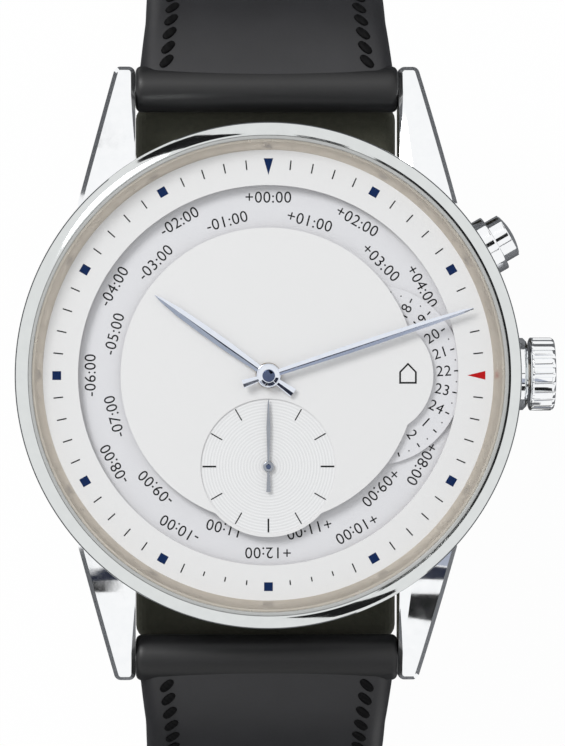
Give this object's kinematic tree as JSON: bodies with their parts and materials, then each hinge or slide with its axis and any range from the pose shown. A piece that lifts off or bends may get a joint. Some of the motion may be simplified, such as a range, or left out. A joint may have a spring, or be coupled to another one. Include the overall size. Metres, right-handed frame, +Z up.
{
  "type": "world time wristwatch",
  "caption": "Round steel wristwatch with raised centre plate, turning city ring, 24 hour window, small seconds, crown, pusher and a black leather strap with pin buckle.",
  "frame": {"origin": "centre of the case back's outer face", "axes": "+Z up through the dial, +X towards 3 o'clock and the crown, +Y towards 12 o'clock"},
  "size_m": [0.043, 0.0684, 0.0566],
  "materials": {
    "polished_steel": "polished",
    "satin_steel": "satin",
    "dial_silver": "matt silver",
    "disc_silver": "fine grained",
    "brass": "gilt",
    "rhodium_brass": "rhodium plated",
    "blued_steel": "heat blued",
    "ruby": "polished",
    "sapphire": "clear",
    "gasket": "matt",
    "leather": "smooth satin",
    "lining": "matt nubuck"
  },
  "bodies": {
    "case": {"case_middle": "polished_steel", "bezel": "polished_steel", "crystal": "sapphire", "crystal_gasket": "gasket", "rehaut_ring": "satin_steel", "case_back": "polished_steel", "case_back_crystal": "sapphire", "case_back_gasket": "gasket", "case_back_screws": "polished_steel", "spring_bar_upper": "polished_steel", "spring_bar_lower": "polished_steel", "dial_ring": "dial_silver", "dial_centre_plate": "dial_silver", "seconds_dial": "dial_silver", "dial_support_ring": "brass", "main_plate": "rhodium_brass", "three_quarter_plate": "rhodium_brass", "plate_screws": "blued_steel", "jewels": "ruby", "movement_ring": "satin_steel", "pallet_bridge": "rhodium_brass", "balance_cock": "rhodium_brass", "rotor_bearing": "polished_steel", "crown_tube": "satin_steel", "pusher_tube": "polished_steel"},
    "city_disc": {"city_disc": "disc_silver"},
    "hour24_disc": {"hour24_disc": "disc_silver", "hour24_wheel": "brass"},
    "hour_hand": {"hour_hand": "polished_steel", "hour_wheel": "brass"},
    "minute_hand": {"minute_hand": "polished_steel", "cannon_pinion": "polished_steel", "centre_wheel": "brass"},
    "seconds_hand": {"seconds_hand": "polished_steel", "fourth_wheel": "brass"},
    "minute_wheel": {"minute_wheel": "brass"},
    "third_wheel": {"third_wheel": "brass"},
    "mainspring_barrel": {"mainspring_barrel": "brass"},
    "escape_wheel": {"escape_wheel": "polished_steel"},
    "pallet_fork": {"pallet_fork": "polished_steel"},
    "balance": {"balance_wheel": "brass", "hairspring": "blued_steel"},
    "winding_rotor": {"winding_rotor": "rhodium_brass"},
    "setting_lever": {"setting_lever": "satin_steel"},
    "crown": {"crown": "polished_steel", "winding_stem": "satin_steel", "crown_gasket": "gasket"},
    "pusher": {"pusher_button": "polished_steel", "pusher_spring": "satin_steel"},
    "strap_short": {"strap_short": "leather", "strap_short_lining": "lining", "fixed_keeper": "leather"},
    "sliding_keeper": {"sliding_keeper": "leather"},
    "buckle_frame": {"buckle_frame": "polished_steel", "buckle_bar": "satin_steel"},
    "buckle_tongue": {"buckle_tongue": "polished_steel"},
    "strap_long": {"strap_long": "leather", "strap_long_lining": "lining"}
  },
  "joints": [
    {"name": "minute_hand_turn", "type": "hinge", "parent": "case", "child": "minute_hand", "pos_m": [0, 0, 0.006], "axis": [0, 0, -1], "continuous": true},
    {"name": "hour_hand_turn", "type": "hinge", "parent": "case", "child": "hour_hand", "pos_m": [0, 0, 0.007], "axis": [0, 0, -1], "continuous": true},
    {"name": "hour24_turn", "type": "hinge", "parent": "case", "child": "hour24_disc", "pos_m": [0.00827, 0, 0.0075], "axis": [0, 0, -1], "continuous": true},
    {"name": "minute_wheel_turn", "type": "hinge", "parent": "case", "child": "minute_wheel", "pos_m": [-0.00235, -0.00085, 0.0067], "axis": [0, 0, -1], "continuous": true},
    {"name": "seconds_hand_turn", "type": "hinge", "parent": "case", "child": "seconds_hand", "pos_m": [0, -0.00719, 0.006], "axis": [0, 0, -1], "continuous": true},
    {"name": "third_wheel_turn", "type": "hinge", "parent": "case", "child": "third_wheel", "pos_m": [0.00199, -0.00375, 0.0045], "axis": [0, 0, -1], "continuous": true},
    {"name": "barrel_turn", "type": "hinge", "parent": "case", "child": "mainspring_barrel", "pos_m": [-0.00585, 0.00337, 0.0045], "axis": [0, 0, -1], "continuous": true},
    {"name": "escape_wheel_turn", "type": "hinge", "parent": "case", "child": "escape_wheel", "pos_m": [-0.00283, -0.00917, 0.0045], "axis": [0, 0, -1], "continuous": true},
    {"name": "pallet_fork_swing", "type": "hinge", "parent": "case", "child": "pallet_fork", "pos_m": [-0.00521, -0.00817, 0.0047], "axis": [0, 0, 1], "range_deg": [-5, 5]},
    {"name": "balance_swing", "type": "hinge", "parent": "case", "child": "balance", "pos_m": [-0.008, -0.007, 0.004], "axis": [0, 0, 1], "range_deg": [-270, 270]},
    {"name": "city_disc_turn", "type": "hinge", "parent": "case", "child": "city_disc", "pos_m": [0, 0, 0.0076], "axis": [0, 0, 1], "continuous": true},
    {"name": "rotor_turn", "type": "hinge", "parent": "case", "child": "winding_rotor", "pos_m": [0, 0, 0.0022], "axis": [0, 0, 1], "continuous": true},
    {"name": "crown_pull", "type": "slide", "parent": "case", "child": "setting_lever", "axis": [1, 0, 0], "range_m": [0, 0.0008]},
    {"name": "crown_turn", "type": "hinge", "parent": "setting_lever", "child": "crown", "pos_m": [0.02, 0, 0.00425], "axis": [1, 0, 0], "continuous": true},
    {"name": "pusher_press", "type": "slide", "parent": "case", "child": "pusher", "axis": [-0.866, -0.5, 0], "range_m": [0, 0.0008], "stiffness_N_per_m": 800, "springref_m": -0.0005},
    {"name": "strap_short_swing", "type": "hinge", "parent": "case", "child": "strap_short", "pos_m": [0, 0.02275, 0.0023], "axis": [1, 0, 0], "range_deg": [-6, 90]},
    {"name": "sliding_keeper_slide", "type": "slide", "parent": "strap_short", "child": "sliding_keeper", "axis": [0, -0.766, 0.6428], "range_m": [-0.001, 0.0015]},
    {"name": "buckle_frame_turn", "type": "hinge", "parent": "strap_short", "child": "buckle_frame", "pos_m": [0, -0.00864, -0.01609], "axis": [1, 0, 0], "range_deg": [-60, 20]},
    {"name": "buckle_tongue_turn", "type": "hinge", "parent": "buckle_frame", "child": "buckle_tongue", "pos_m": [0, -0.00864, -0.01609], "axis": [1, 0, 0], "range_deg": [0, 70]},
    {"name": "strap_long_swing", "type": "hinge", "parent": "case", "child": "strap_long", "pos_m": [0, -0.02275, 0.0023], "axis": [-1, 0, 0], "range_deg": [0, 90]}
  ],
  "couplings": [
    {"joint": "hour_hand_turn", "follows": "minute_hand_turn", "ratio": 0.083333},
    {"joint": "hour24_turn", "follows": "minute_hand_turn", "ratio": -0.041667},
    {"joint": "minute_wheel_turn", "follows": "minute_hand_turn", "ratio": -0.33333},
    {"joint": "third_wheel_turn", "follows": "minute_hand_turn", "ratio": -7.5},
    {"joint": "seconds_hand_turn", "follows": "minute_hand_turn", "ratio": 60},
    {"joint": "escape_wheel_turn", "follows": "minute_hand_turn", "ratio": -600},
    {"joint": "barrel_turn", "follows": "minute_hand_turn", "ratio": -0.125}
  ]
}
